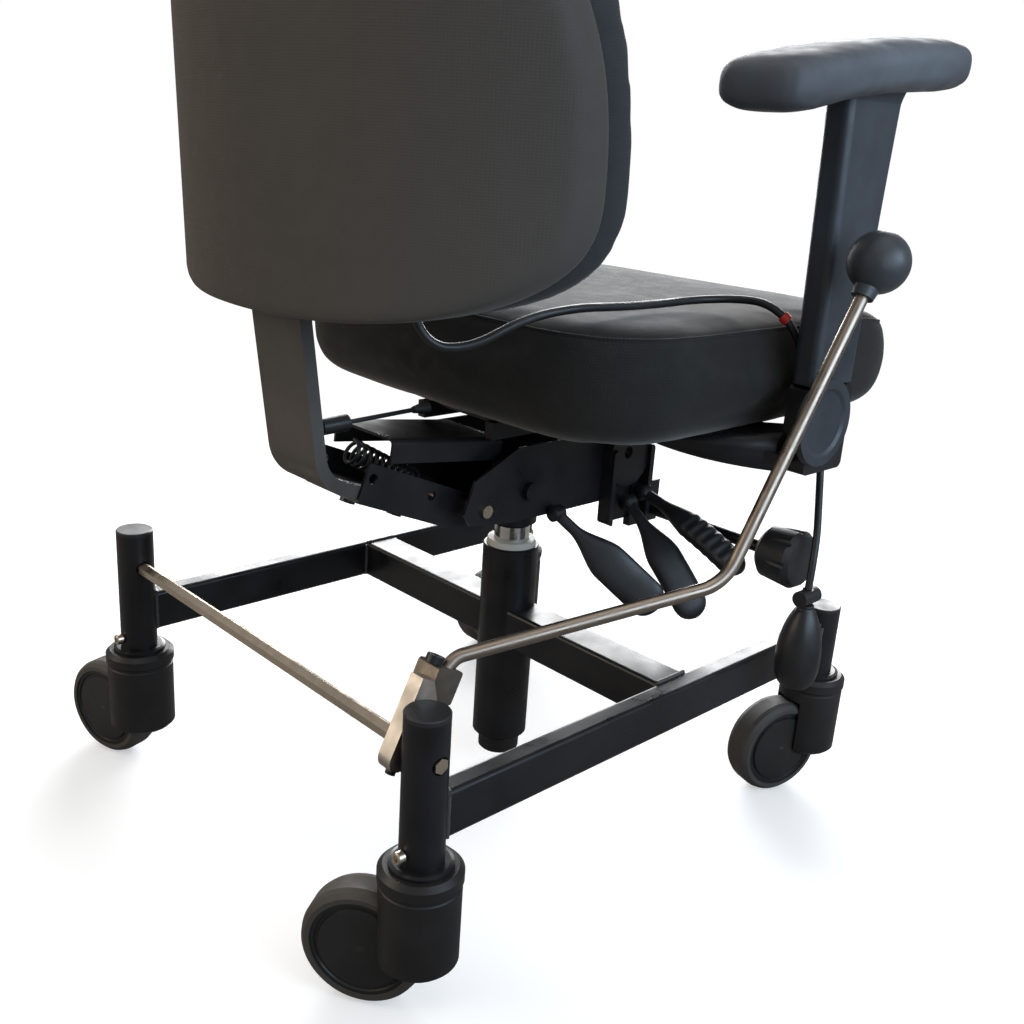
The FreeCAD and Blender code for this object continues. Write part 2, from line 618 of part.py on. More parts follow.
def seat():
    front, rear, half = S.seat_front, S.seat_rear, S.seat_half
    depth, middle = front + rear, (rear - front) / 2
    foot, top = S.seat_foot, S.seat_top

    def level(height, inset, corner):
        return rounded_rectangle(2 * (half - inset), depth - 2 * inset, corner, height, 0, middle)

    waist, high = (foot + top) / 2 - 4, (top - foot) / 2
    rows = []
    for n in range(9):
        share = -0.96 + 1.84 * n / 8
        rows.append((waist + high * share, 26 * (1 - math.sqrt(1 - share ** 2))))
    edge_height, edge_inset = rows[-1]
    for n in range(1, 6):
        angle = math.pi / 2 * n / 5
        rows.append((edge_height + (top + S.seat_crown - edge_height) * math.sin(angle),
                     edge_inset + 110 * (1 - math.cos(angle))))
    cushion = Part.makeLoft([level(height, inset, 86 - inset * 0.4) for height, inset in rows], True, True)
    node("seat_cushion", solid("cushion", cushion), upper=True)
    under = rows[0][0] - 0.3
    pan_rows = ((S.pan_foot, 96, 80), (S.pan_foot + 10, 82, 44), (under, 79, 26))
    pan = Part.makeLoft([rounded_rectangle(2 * (half - side), depth - 2 * end, 50, height, 0, middle)
                         for height, side, end in pan_rows], True, False)
    node("seat_pan", solid("pan", pan), upper=True)
    frame = []
    for sign in (-1, 1):
        x = sign * 48 - 5
        runner = Part.makeBox(10, 190, 16, Vector(x, -105, S.pan_foot - 16.0))
        ear = Part.makeBox(10, 34, 40, Vector(x, -102, S.seat_pivot_z - 9))
        frame += [runner, ear]
    tie = Part.makeBox(106, 30, 5, Vector(-53, 40, S.pan_foot - 5))
    whole = frame[0].multiFuse(frame[1:] + [tie]).removeSplitter()
    whole = whole.cut(Part.makeCylinder(S.pin_dia / 2 + 0.05, 200, Vector(-100, -S.seat_pivot_y, S.seat_pivot_z), X))
    node("seat_frame", solid("frame", whole), upper=True)


# Arms

def arm(side, sign):
    x, y = S.arm_x, -S.arm_y
    wide, thick = S.arm_wide, S.arm_thick
    bar = Part.makeBox(x - 53, 60, 9, Vector(53, y - 10, S.pan_foot - 11))
    casting = Part.makeBox(thick, wide - 4, S.sleeve_foot - 2 - 376, Vector(x - thick / 2, y - wide / 2 + 2, 376))
    casting = rounded_edges(casting, 6, X)
    inner_bar = Part.makeBox(S.arm_bar_thick, S.arm_bar_wide, 190, Vector(x - S.arm_bar_thick / 2, y - S.arm_bar_wide / 2, 440))
    shroud_rows = ((153, -64, 84, 386, 402), (200, -82, 92, 380, 406), (x - 10, -112, 74, 374, 411))
    shroud = Part.makeLoft([across_x(wide_y, high_z - low_z, row_x, middle, (low_z + high_z) / 2)
                            for row_x, middle, wide_y, low_z, high_z in shroud_rows], True, False)
    bracket = bar.multiFuse([casting, inner_bar, shroud]).removeSplitter()
    node(f"arm_bracket_{side}", solid(f"bracket_{side}", mirrored(bracket, sign)), upper=True)

    centre = Vector(x + thick / 2 + 0.3, y + 26, 426)
    radius, deep = S.hand_wheel_dia / 2, S.hand_wheel_thick
    disc = Part.makeCone(radius - 7, radius, deep * 0.45, centre, X)
    disc = disc.fuse(Part.makeCylinder(radius, deep * 0.55, centre + X * deep * 0.45, X))
    disc = disc.cut(Part.makeCone(radius - 11, radius - 7, 2.5, centre + X * (deep - 2), X))
    node(f"arm_knob_{side}", solid(f"hand_wheel_{side}", mirrored(disc, sign)), upper=True)

    low, high = S.sleeve_foot, 716

    def level(height, w, t):
        return rounded_rectangle(t, w, t * 0.3, height, x, y)

    sleeve = Part.makeLoft([level(low, wide - 2, thick), level(low + 120, wide + 5, thick),
                            level(high - 30, wide + 16, thick)], True, False)
    flare = Part.makeLoft([level(high - 30, wide + 16, thick), level(high - 14, wide + 26, thick + 10),
                           level(high, wide + 46, thick + 26)], True, False)
    pad = mirrored(arm_pad(x), 1)
    sleeve = sleeve.fuse(flare).removeSplitter().cut(pad)
    pocket = Part.makeBox(S.arm_bar_thick + 0.1, S.arm_bar_wide + 0.1, 200,
                          Vector(x - S.arm_bar_thick / 2 - 0.05, y - S.arm_bar_wide / 2 - 0.05, low - 1))
    node(f"arm_upright_{side}", solid(f"sleeve_{side}", mirrored(sleeve.cut(pocket), sign)), upper=True)
    node(f"arm_pad_{side}", solid(f"pad_{side}", mirrored(arm_pad(x), sign)), upper=True)


def arm_pad(x):
    """A soft pad in cross sections along its length, thicker and lower at the rear."""
    rear, front, wide = S.pad_rear, -S.pad_front, S.pad_wide
    x += 8
    rows = [(0.0, 0.62, 682, 708), (0.03, 0.84, 676, 715), (0.10, 0.98, 673, 720), (0.32, 1.0, 681, 730),
            (0.6, 1.0, 697, 740), (0.86, 0.98, 708, 745), (0.97, 0.84, 710, 743), (1.0, 0.62, 715, 738)]
    wires = []
    for share, width, foot, top in rows:
        y = rear + (front - rear) * share
        w, t = wide * width, top - foot
        wire = rounded_rectangle(w, t, t * 0.42, 0)
        wire.Placement = Placement(Vector(x, y, (foot + top) / 2), Rotation(X, 90))
        wires.append(wire)
    return Part.makeLoft(wires, True, False)


def across_x(wide, high, x, y, z):
    """A rounded rectangle that stands across the X axis."""
    wire = rounded_rectangle(high, wide, min(wide, high) * 0.4, 0)
    wire.Placement = Placement(Vector(x, y, z), Rotation(Y, 90))
    return wire


def rounded_edges(shape, radius, direction):
    edges = [e for e in shape.Edges if abs(e.tangentAt(e.FirstParameter).dot(direction)) > 0.99]
    return shape.makeFillet(radius, edges)


def mirrored(shape, sign):
    """The sitter's left side as modelled, or its mirror image on the right."""
    return shape if sign > 0 else shape.mirror(Vector(), X)


# Back

def offset_strip(points, radius, half):
    """The outline of a flat strip that follows points in the YZ plane with one bend."""
    path = bent_path(points, [radius])
    first, arc, last = path.Edges
    centre = arc.Curve.Center
    outlines = []
    for side in (-1, 1):
        ends = []
        for edge in (first, last):
            way = edge.tangentAt(edge.FirstParameter)
            across = Vector(0, -way.z, way.y) * side * half
            ends.append([v.Point + across for v in edge.Vertexes])
        (a, b), (c, d) = ends
        spoke = (arc.valueAt((arc.FirstParameter + arc.LastParameter) / 2) - centre).normalize()
        inner = (b - centre).Length
        outlines.append((a, b, centre + spoke * inner, c, d))
    (a, b, m, c, d), (e, f, n, g, h) = outlines
    return Part.Wire([Part.LineSegment(a, b).toShape(), Part.Arc(b, m, c).toShape(), Part.LineSegment(c, d).toShape(),
                      Part.LineSegment(d, h).toShape(), Part.LineSegment(h, g).toShape(),
                      Part.Arc(g, n, f).toShape(), Part.LineSegment(f, e).toShape(), Part.LineSegment(e, a).toShape()])


BAR_ROUTE = [Vector(0, 122, 310), Vector(0, 253.4, 363.5), Vector(0, 289.4, 640)]


def back_outline():
    """The back's outline seen from behind: square-shouldered below its widest line and a tall oval above it."""
    points = []
    widest = S.back_foot + S.back_low
    for n in range(20):
        angle = 2 * math.pi * (n + 0.5) / 20
        power, high = (2.3, S.back_high) if math.sin(angle) > 0 else (3.3, S.back_low)
        across, up = math.cos(angle), math.sin(angle)
        size = (abs(across) ** power + abs(up) ** power) ** (-1 / power)
        points.append(Vector(S.back_half * across * size, 0, widest + high * up * size))
    return points


def back():
    half, thick = S.bar_wide / 2, S.bar_thick
    outline = offset_strip(BAR_ROUTE, S.bar_bend, thick / 2)
    bar = Part.Face(outline).extrude(X * 2 * half)
    bar.translate(X * -half)
    node("back_bar", solid("bar", bar), upper=True)

    arm_way = (BAR_ROUTE[1] - BAR_ROUTE[0]).normalize()
    up = Vector(0, -arm_way.z, arm_way.y)
    under = BAR_ROUTE[0] - up * (thick / 2)
    wall = S.plate
    web_long, high = 104, 36
    web = Part.makeBox(2 * half + 2 * wall, web_long, wall, Vector(-half - wall, 0, -wall))
    flanges = []
    for x in (-half - wall, half):
        flange = Part.makeBox(wall, web_long + 34, high, Vector(x, -34, -wall))
        flange = flange.fuse(Part.makeCylinder(high / 2, wall, Vector(x, -34, high / 2 - wall), X))
        flanges.append(flange)
    carrier = web.multiFuse(flanges).removeSplitter()
    for along in (96, 26):
        carrier = carrier.cut(Part.makeCylinder(4.5, 200, Vector(-100, along, 21), X))
    carrier.Placement = Placement(under, Rotation(Y, arm_way))
    carrier = carrier.cut(Part.makeCylinder(S.pin_dia / 2 + 0.05, 200, Vector(-100, S.back_pivot_y, S.back_pivot_z), X))
    heads = []
    for along in (28, 84):
        head = Part.makeCylinder(7, 5, under + arm_way * along - up * (wall + 5), up)
        heads.append(head)
    carrier_whole = carrier.multiFuse(heads)
    node("back_carrier", solid("carrier", carrier_whole), upper=True)

    lean_way = (BAR_ROUTE[2] - BAR_ROUTE[1]).normalize()
    seat_point = BAR_ROUTE[1] + lean_way * 165
    sleeve = Part.makeBox(84, 40, 64, Vector(-42, -10, 0))
    sleeve = sleeve.cut(Part.makeBox(2 * half + 0.1, thick + 0.1, 70, Vector(-half - 0.05, -thick / 2 - 0.05, -2)))
    sleeve.Placement = Placement(seat_point, Rotation(Z, lean_way))
    foot, centre = S.back_foot, S.back_rear - S.back_radius
    curve = Part.BSplineCurve()
    curve.interpolate(back_outline(), PeriodicFlag=True)
    prism = Part.Face(Part.Wire(curve.toShape())).extrude(Y * 500)
    rear_drum = Part.makeCylinder(S.back_radius, 1200, Vector(0, centre, 0))
    inner_drum = Part.makeCylinder(S.back_radius - S.shell_thick, 1200, Vector(0, centre, 0))
    shell = prism.common(rear_drum).cut(inner_drum)
    cushion_drum = Part.makeCylinder(S.back_radius - S.shell_thick - 0.3, 1200, Vector(0, centre, 0))
    front_drum = Part.makeCylinder(S.back_front_radius, 1200, Vector(0, S.back_front - S.back_front_radius, 0))
    cushion = prism.common(cushion_drum).cut(front_drum)
    rim = [e for e in cushion.Edges if e.Length > 400 and e.CenterOfMass.y < S.back_front]
    cushion = cushion.makeFillet(16, rim)
    cushion = cushion.cut(Part.makeBox(96, 200, 180, Vector(-48, 252, foot - 10)))
    lean = Placement(Vector(0, S.back_rear, foot), Rotation(X, -S.back_lean)) * \
        Placement(Vector(0, -S.back_rear, -foot), Rotation())
    shell = placed(shell, lean)
    node("back_shell", solid("shell", shell), upper=True)
    beyond = placed(Part.makeBox(400, 400, 400, Vector(-200, S.back_rear - 4, foot - 100)), lean)
    sleeve = sleeve.cut(beyond).cut(shell)
    node("back_slide", solid("slide", sleeve), upper=True)
    node("back_cushion", solid("pad", placed(cushion, lean)), upper=True)

    low, high_end = Vector(-18, 245, 406), Vector(-18, 133, 410)
    way = (high_end - low).normalize()
    cable = Part.makeCylinder(2, (high_end - low).Length, low, way)
    ferrule = Part.makeCylinder(7, 26, low, way)
    boot = Part.makeCone(3, 6, 16, high_end - way * 16, way)
    node("back_cable", solid("cable", cable.multiFuse([ferrule, boot])), upper=True)


def placed(shape, place):
    moved = shape.copy()
    moved.Placement = place * moved.Placement
    return moved


# Air pump for the lumbar cushion: hose, coupling, valve and bulb

HOSE_ROUTE = [Vector(-112, 226, 509.5), Vector(-118, 220, 488), Vector(-134, 188, 487), Vector(-152, 152, 510),
              Vector(-160, 104, 517), Vector(-160, 52, 515), Vector(-157, 0, 514), Vector(-160, -48, 516),
              Vector(-184, -76, 519), Vector(-214, -82, 519), Vector(-237, -92, 500), Vector(-237, -122, 458),
              Vector(-237, -158, 415), Vector(-239, -164, 372), Vector(-256, -143, 336), Vector(-271, -124, 304),
              Vector(-273, -118, 264)]


def smooth_radii(points):
    """Arc radii as large as the runs beside each corner allow."""
    radii = []
    for n in range(1, len(points) - 1):
        back, ahead = points[n - 1] - points[n], points[n + 1] - points[n]
        turn = math.pi - back.getAngle(ahead)
        radii.append(0.45 * min(back.Length, ahead.Length) / math.tan(turn / 2))
    return radii


def pump():
    radii = smooth_radii(HOSE_ROUTE)
    print("hose radii:", ", ".join(f"{r:.0f}" for r in radii))
    wire = bent_path(HOSE_ROUTE, radii)
    hose = tube_along(wire, S.hose_dia / 2)
    section = math.pi * (S.hose_dia / 2) ** 2
    print(f"hose: length {wire.Length:.0f} mm, volume over section times length {hose.Volume / (section * wire.Length):.4f}")
    node("pump_hose", solid("hose", hose), upper=True)
    x, y = HOSE_ROUTE[-1].x, HOSE_ROUTE[-1].y
    valve = Part.makeCylinder(7.5, 26, Vector(x, y - 13, 256.5), Y)
    stub = Part.makeCylinder(5, 8, Vector(x, y, 256))
    node("pump_valve", solid("valve", valve.fuse(stub).removeSplitter()), upper=True)
    rows = ((0, 0), (0.35, 0), (0.72, 0.065), (0.95, 0.21), (1, 0.38), (0.9, 0.6), (0.62, 0.82), (0.38, 0.93),
            (0.34, 1), (0, 1))
    bulb = turned("bulb", [(f"bulb_dia / 2 * {wide}", f"(bulb_top - bulb_foot) * {share}") for wide, share in rows],
                  x, y, "bulb_foot - 1.2")
    node("pump_bulb", bulb, upper=True)
    before, after = HOSE_ROUTE[9], HOSE_ROUTE[10]
    way = (after - before).normalize()
    ring = Part.makeCylinder(5, 7, (before + after) * 0.5, way).cut(hose)
    node("hose_coupling", solid("coupling", ring), upper=True)


for side, sign in (("left", ""), ("right", "-")):
    side_rail(side, sign)
crossbar()
column()
for end in ("rear", "front"):
    node(f"{end}_posts", *[post(f"{end}_{side}", *CORNERS[f"{end}_{side}"]) for side in ("left", "right")])
for corner, (post_x, post_y, post_top) in CORNERS.items():
    castor(corner, post_x, post_y)
post_fittings()
brake()
mechanism()
spring()
levers()
seat()
for side, sign in (("left", 1), ("right", -1)):
    arm(side, sign)
back()
pump()

doc.recompute()
os.makedirs("parts", exist_ok=True)
for obj in doc.Objects:
    if "Invalid" in obj.State or "Error" in obj.State:
        raise RuntimeError(f"{obj.Name} failed: {obj.State}")
for label, obj in nodes.items():
    if obj.Shape.isNull() or not obj.Shape.isValid() or not obj.Shape.Solids:
        raise RuntimeError(f"{label} has no valid solid")
for label, obj in nodes.items():
    obj.Shape.exportStep(f"parts/{label}.step")
print(f"{len(nodes)} nodes written")
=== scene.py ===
import json
import math

import bmesh
import bpy
from mathutils import Matrix, Vector, noise


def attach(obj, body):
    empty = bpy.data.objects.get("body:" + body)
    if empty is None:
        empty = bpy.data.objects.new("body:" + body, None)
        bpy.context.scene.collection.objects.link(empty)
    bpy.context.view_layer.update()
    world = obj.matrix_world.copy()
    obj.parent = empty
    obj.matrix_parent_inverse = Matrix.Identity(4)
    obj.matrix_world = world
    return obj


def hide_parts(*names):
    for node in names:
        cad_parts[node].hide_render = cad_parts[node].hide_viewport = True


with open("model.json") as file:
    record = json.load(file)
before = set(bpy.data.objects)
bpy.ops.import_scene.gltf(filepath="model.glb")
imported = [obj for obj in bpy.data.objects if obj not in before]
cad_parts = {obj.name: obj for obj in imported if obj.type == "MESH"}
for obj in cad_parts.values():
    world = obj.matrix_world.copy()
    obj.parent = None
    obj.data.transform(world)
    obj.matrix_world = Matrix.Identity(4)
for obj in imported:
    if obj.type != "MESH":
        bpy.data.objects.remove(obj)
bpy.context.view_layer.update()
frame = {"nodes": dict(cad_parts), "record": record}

nodes = frame["nodes"]
scene = bpy.context.scene


# Camera, at the photographed angle, as solved from the base's right angles

CAMERA_AT = (-0.7630, 0.7521, 0.6409)
CAMERA_RIGHT, CAMERA_AHEAD = (-0.68464, -0.72617, 0.06284), (0.67610, -0.66491, -0.31747)


def make_camera():
    data = bpy.data.cameras.new("camera")
    data.sensor_width = 36
    data.lens = 39.32
    data.clip_start = 0.02
    camera = bpy.data.objects.new("camera", data)
    scene.collection.objects.link(camera)
    ahead = Vector(CAMERA_AHEAD).normalized()
    up = Vector(CAMERA_RIGHT).cross(ahead).normalized()
    right = ahead.cross(up).normalized()
    rows = [(right[k], up[k], -ahead[k], CAMERA_AT[k]) for k in range(3)]
    camera.matrix_world = Matrix(rows + [(0, 0, 0, 1)])
    scene.camera = camera


make_camera()


# Materials

class Surface:
    """A node material built up from a Principled shader."""

    def __init__(self, name, color, roughness, metallic=0.0, **sockets):
        self.material = bpy.data.materials.new(name)
        self.material.use_nodes = True
        self.tree = self.material.node_tree
        self.shader = self.tree.nodes["Principled BSDF"]
        self.color = color
        self.shader.inputs["Base Color"].default_value = (*color, 1)
        self.shader.inputs["Roughness"].default_value = roughness
        self.shader.inputs["Metallic"].default_value = metallic
        for socket, value in sockets.items():
            self.shader.inputs[socket.replace("_", " ")].default_value = value
        self.place = self.node("ShaderNodeTexCoord").outputs["Object"]

    def node(self, kind, **settings):
        made = self.tree.nodes.new(kind)
        for key, value in settings.items():
            setattr(made, key, value)
        return made

    def link(self, source, target):
        self.tree.links.new(source, target)

    def maths(self, operation, first, second=None):
        made = self.node("ShaderNodeMath", operation=operation)
        for socket, value in zip(made.inputs, (first, second)):
            if isinstance(value, (int, float)):
                socket.default_value = value
            elif value is not None:
                self.link(value, socket)
        return made.outputs[0]

    def noise(self, scale, detail=4, roughness=0.55, stretch=None):
        made = self.node("ShaderNodeTexNoise")
        made.inputs["Scale"].default_value = scale
        made.inputs["Detail"].default_value = detail
        made.inputs["Roughness"].default_value = roughness
        place = self.place
        if stretch:
            mapping = self.node("ShaderNodeMapping")
            mapping.inputs["Scale"].default_value = stretch
            self.link(place, mapping.inputs["Vector"])
            place = mapping.outputs[0]
        self.link(place, made.inputs["Vector"])
        return made.outputs[0]

    def ramp(self, source, low, high, stops=(0.35, 0.65)):
        """Map a texture onto a range of values."""
        made = self.node("ShaderNodeMapRange")
        made.inputs["From Min"].default_value = stops[0]
        made.inputs["From Max"].default_value = stops[1]
        made.inputs["To Min"].default_value = low
        made.inputs["To Max"].default_value = high
        self.link(source, made.inputs["Value"])
        return made.outputs[0]

    def tint(self, source, other, stops=(0.35, 0.65), part=1.0):
        """Vary the base colour towards another colour by a texture."""
        mix = self.node("ShaderNodeMix", data_type="RGBA")
        self.link(self.ramp(source, 0, part, stops), mix.inputs["Factor"])
        base = self.shader.inputs["Base Color"]
        if base.is_linked:
            self.link(base.links[0].from_socket, mix.inputs["A"])
        else:
            mix.inputs["A"].default_value = (*self.color, 1)
        mix.inputs["B"].default_value = (*other, 1)
        self.link(mix.outputs["Result"], base)

    def rough(self, source, low, high, stops=(0.35, 0.65)):
        self.link(self.ramp(source, low, high, stops), self.shader.inputs["Roughness"])

    def bump(self, source, distance, strength=0.6):
        made = self.node("ShaderNodeBump")
        made.inputs["Distance"].default_value = distance
        made.inputs["Strength"].default_value = strength
        self.link(source, made.inputs["Height"])
        normal = self.shader.inputs["Normal"]
        if normal.is_linked:
            self.link(normal.links[0].from_socket, made.inputs["Normal"])
        self.link(made.outputs["Normal"], normal)

    def weave(self, pitch):
        """A plain weave in three planes, weighted by the way the surface faces."""
        waves = []
        for direction in ("X", "Y", "Z"):
            wave = self.node("ShaderNodeTexWave", bands_direction=direction)
            wave.inputs["Scale"].default_value = 0.314 / pitch / 2
            wave.inputs["Distortion"].default_value = 0.6
            wave.inputs["Detail Scale"].default_value = 2.0
            self.link(self.place, wave.inputs["Vector"])
            waves.append(wave.outputs["Fac"])
        split = self.node("ShaderNodeSeparateXYZ")
        self.link(self.node("ShaderNodeNewGeometry").outputs["True Normal"], split.inputs[0])
        total = None
        for axis, (a, b) in enumerate(((1, 2), (0, 2), (0, 1))):
            share = self.maths("POWER", self.maths("ABSOLUTE", split.outputs[axis]), 2.0)
            part = self.maths("MULTIPLY", share, self.maths("MAXIMUM", waves[a], waves[b]))
            total = part if total is None else self.maths("ADD", total, part)
        return total


def painted(name, color, roughness, wear=0.06):
    s = Surface(name, color, roughness, Specular_IOR_Level=0.35, Coat_Weight=0.06, Coat_Roughness=0.3)
    s.tint(s.noise(7, 3), tuple(c * 1.8 + 0.004 for c in color))
    s.tint(s.noise(120, 5, 0.7), tuple(c + wear for c in color), (0.66, 0.8), 0.6)
    s.rough(s.noise(28, 6), roughness - 0.07, roughness + 0.12)
    s.bump(s.noise(650, 2), 0.0002, 0.35)
    return s.material


def metal(name, color, roughness, brushed=(1, 1, 1)):
    s = Surface(name, color, roughness, metallic=1.0)
    s.rough(s.noise(60, 6, 0.6, brushed), roughness * 0.8, roughness * 1.4)
    s.tint(s.noise(22, 4, 0.5, brushed), tuple(c * 0.78 for c in color), part=0.5)
    s.tint(s.noise(9, 4), (0.25, 0.19, 0.13), (0.62, 0.8), 0.3)
    s.bump(s.noise(500, 2, 0.6, brushed), 0.00004, 0.12)
    return s.material


def moulded(name, color, roughness, grain=900):
    s = Surface(name, color, roughness, Specular_IOR_Level=0.5)
    s.tint(s.noise(9, 4), tuple(c * 1.7 + 0.004 for c in color))
    s.rough(s.noise(45, 6), roughness - 0.07, roughness + 0.13)
    s.bump(s.noise(grain, 2, 0.7), 0.00025, 0.45)
    s.bump(s.noise(22, 3), 0.0006, 0.12)
    return s.material


def fabric(name, color, pitch, sheen, fleck, grain=0.5):
    s = Surface(name, color, 0.9, Sheen_Weight=sheen, Sheen_Roughness=0.4, Specular_IOR_Level=0.2)
    s.shader.inputs["Sheen Tint"].default_value = (1.0, 0.97, 0.92, 1)
    weave = s.weave(pitch)
    s.tint(s.noise(4, 4), tuple(c * 1.25 for c in color))
    s.tint(weave, fleck, (0.2, 1.0), 0.4)
    s.tint(s.noise(900, 3, 0.8), tuple(c * 2.0 for c in fleck), (0.55, 0.8), grain)
    s.rough(s.noise(60, 4), 0.82, 0.97)
    s.bump(weave, 0.0003, 0.4)
    s.bump(s.noise(1500, 2), 0.0002, 0.3)
    return s.material


paint = {
    "frame_paint": painted("frame_paint", (0.006, 0.006, 0.007), 0.33, 0.02),
    "bar_paint": painted("bar_paint", (0.045, 0.041, 0.038), 0.48, 0.02),
    "weld": painted("weld", (0.05, 0.048, 0.045), 0.30, 0.05),
    "housing_paint": painted("housing_paint", (0.010, 0.009, 0.009), 0.42, 0.03),
    "mech_steel": painted("mech_steel", (0.006, 0.006, 0.007), 0.34, 0.015),
    "bush_plastic": moulded("bush_plastic", (0.40, 0.38, 0.34), 0.45),
    "chrome": metal("chrome", (0.80, 0.78, 0.76), 0.14, (1, 1, 6)),
    "bright_steel": metal("bright_steel", (0.72, 0.62, 0.50), 0.26),
    "rod_steel": metal("rod_steel", (0.36, 0.30, 0.25), 0.30),
    "wheel_plastic": moulded("wheel_plastic", (0.009, 0.009, 0.009), 0.38),
    "tread": moulded("tread", (0.040, 0.036, 0.031), 0.6, 500),
    "black_plastic": moulded("black_plastic", (0.009, 0.009, 0.010), 0.42),
    # Knob plastic: a dark plastic with a lifted, bluish base, a painted bluish side light.
    "knob_plastic": moulded("knob_plastic", (0.044, 0.048, 0.054), 0.38, 700),
    # Arm uprights and knobs: near-black plastic with a lifted, bluish base, a painted bluish side light on top of its
    # own dark colour.
    "arm_plastic_painted_sidelight": moulded("arm_plastic_painted_sidelight", (0.026, 0.031, 0.038), 0.42),
    "seat_fabric": fabric("seat_fabric", (0.013, 0.0125, 0.012), 0.0011, 0.22, (0.030, 0.029, 0.027)),
    # Back pad fabric: the upholstery's own grey, made lighter and bluish as a painted bluish rim light.
    "pad_fabric_painted_rimlight": fabric("pad_fabric_painted_rimlight", (0.032, 0.033, 0.035), 0.0010, 0.20, (0.048, 0.049, 0.052), 0.25),
    "back_fabric": fabric("back_fabric", (0.062, 0.056, 0.050), 0.0010, 0.12, (0.080, 0.073, 0.066), 0.25),
    # Arm pad foam: the foam's own grey, with a lifted bluish base as a painted reflection of bright bluish
    # surroundings.
    "arm_foam": moulded("arm_foam", (0.070, 0.077, 0.088), 0.55, 600),
    "hose_rubber": moulded("hose_rubber", (0.009, 0.009, 0.010), 0.42, 800),
    "coupling_red": moulded("coupling_red", (0.45, 0.02, 0.015), 0.35),
    "clamp_block": metal("clamp_block", (0.20, 0.17, 0.14), 0.45),
    "clamp_alloy": metal("clamp_alloy", (0.58, 0.53, 0.47), 0.42),
}
own_looks = {
    "castor_stems": "frame_paint", "back_bar": "bar_paint", "brake_rod": "rod_steel", "brake_clamp": "clamp_alloy",
    "arm_upright_left": "arm_plastic_painted_sidelight", "arm_upright_right": "arm_plastic_painted_sidelight",
    "arm_knob_left": "arm_plastic_painted_sidelight", "arm_knob_right": "arm_plastic_painted_sidelight",
}
slots = {entry["node"]: entry["material_slot"] for entry in frame["record"]["subparts"]}
for name, obj in nodes.items():
    obj.data.materials.clear()
    obj.data.materials.append(paint[own_looks.get(name, slots[name])])

# The brake clamp is one solid with two finishes: its plate, and the block that grips the rod.
BAR_AXIS, CLAMP_LEAN = Vector((0, 0.295, 0.2174)), Matrix.Rotation(math.radians(-26), 3, "X")
BLOCK_FOOT, PLATE_TOP, PLATE_REAR, PLATE_SIDE = 0.0335, 0.0505, -0.0121, -0.1934
clamp = nodes["brake_clamp"].data
clamp.materials.append(paint["clamp_block"])
for face in clamp.polygons:
    x, y, z = CLAMP_LEAN @ (face.center - BAR_AXIS)
    if z > BLOCK_FOOT and (y < PLATE_REAR or z > PLATE_TOP or x > PLATE_SIDE):
        face.material_index = 1


# Soft goods

def rounded_outline(a, b, radius, count=160):
    """Points spaced evenly along a rounded rectangle of half sizes a and b."""
    radius = min(radius, a * 0.999, b * 0.999)
    runs = [2 * (b - radius), math.pi / 2 * radius, 2 * (a - radius), math.pi / 2 * radius] * 2
    corners = [(a - radius, b - radius), (radius - a, b - radius), (radius - a, radius - b), (a - radius, radius - b)]
    total = sum(runs)
    points = []
    for n in range(count):
        at = total * n / count
        side = 0
        while at > runs[side]:
            at -= runs[side]
            side += 1
        quarter = side // 2
        if side % 2:
            angle = math.pi / 2 * (quarter + at / runs[side])
            cx, cy = corners[quarter]
            points.append((cx + radius * math.cos(angle), cy + radius * math.sin(angle)))
        else:
            share = at / runs[side] if runs[side] else 0
            ends = [(a, radius - b, a, b - radius), (a - radius, b, radius - a, b),
                    (-a, b - radius, -a, radius - b), (radius - a, -b, a - radius, -b)]
            x0, y0, x1, y1 = ends[quarter]
            points.append((x0 + (x1 - x0) * share, y0 + (y1 - y0) * share))
    return points


def ring_mesh(name, rings, close=True):
    """A mesh through rings of equal count, closed at both ends where asked."""
    count = len(rings[0])
    mesh = bpy.data.meshes.new(name)
    verts = [p for ring in rings for p in ring]
    faces = []
    for k in range(len(rings) - 1):
        for n in range(count):
            m = (n + 1) % count
            faces.append((k * count + n, k * count + m, (k + 1) * count + m, (k + 1) * count + n))
    if close:
        for k, flip in ((0, True), (len(rings) - 1, False)):
            centre = sum((Vector(p) for p in rings[k]), Vector()) / count
            verts.append(tuple(centre))
            for n in range(count):
                m = (n + 1) % count
                tri = (k * count + n, k * count + m, len(verts) - 1)
                faces.append(tri[::-1] if flip else tri)
    mesh.from_pydata([tuple(p) for p in verts], [], faces)
    mesh.validate()
    build = bmesh.new()
    build.from_mesh(mesh)
    bmesh.ops.recalc_face_normals(build, faces=build.faces)
    build.to_mesh(mesh)
    build.free()
    mesh.shade_smooth()
    obj = bpy.data.objects.new(name, mesh)
    scene.collection.objects.link(obj)
    return obj


def bake(obj):
    """Apply an object's modifiers to its mesh."""
    graph = bpy.context.evaluated_depsgraph_get()
    mesh = bpy.data.meshes.new_from_object(obj.evaluated_get(graph))
    obj.modifiers.clear()
    obj.data = mesh
    mesh.shade_smooth()


CLOTH_FRAMES = 20


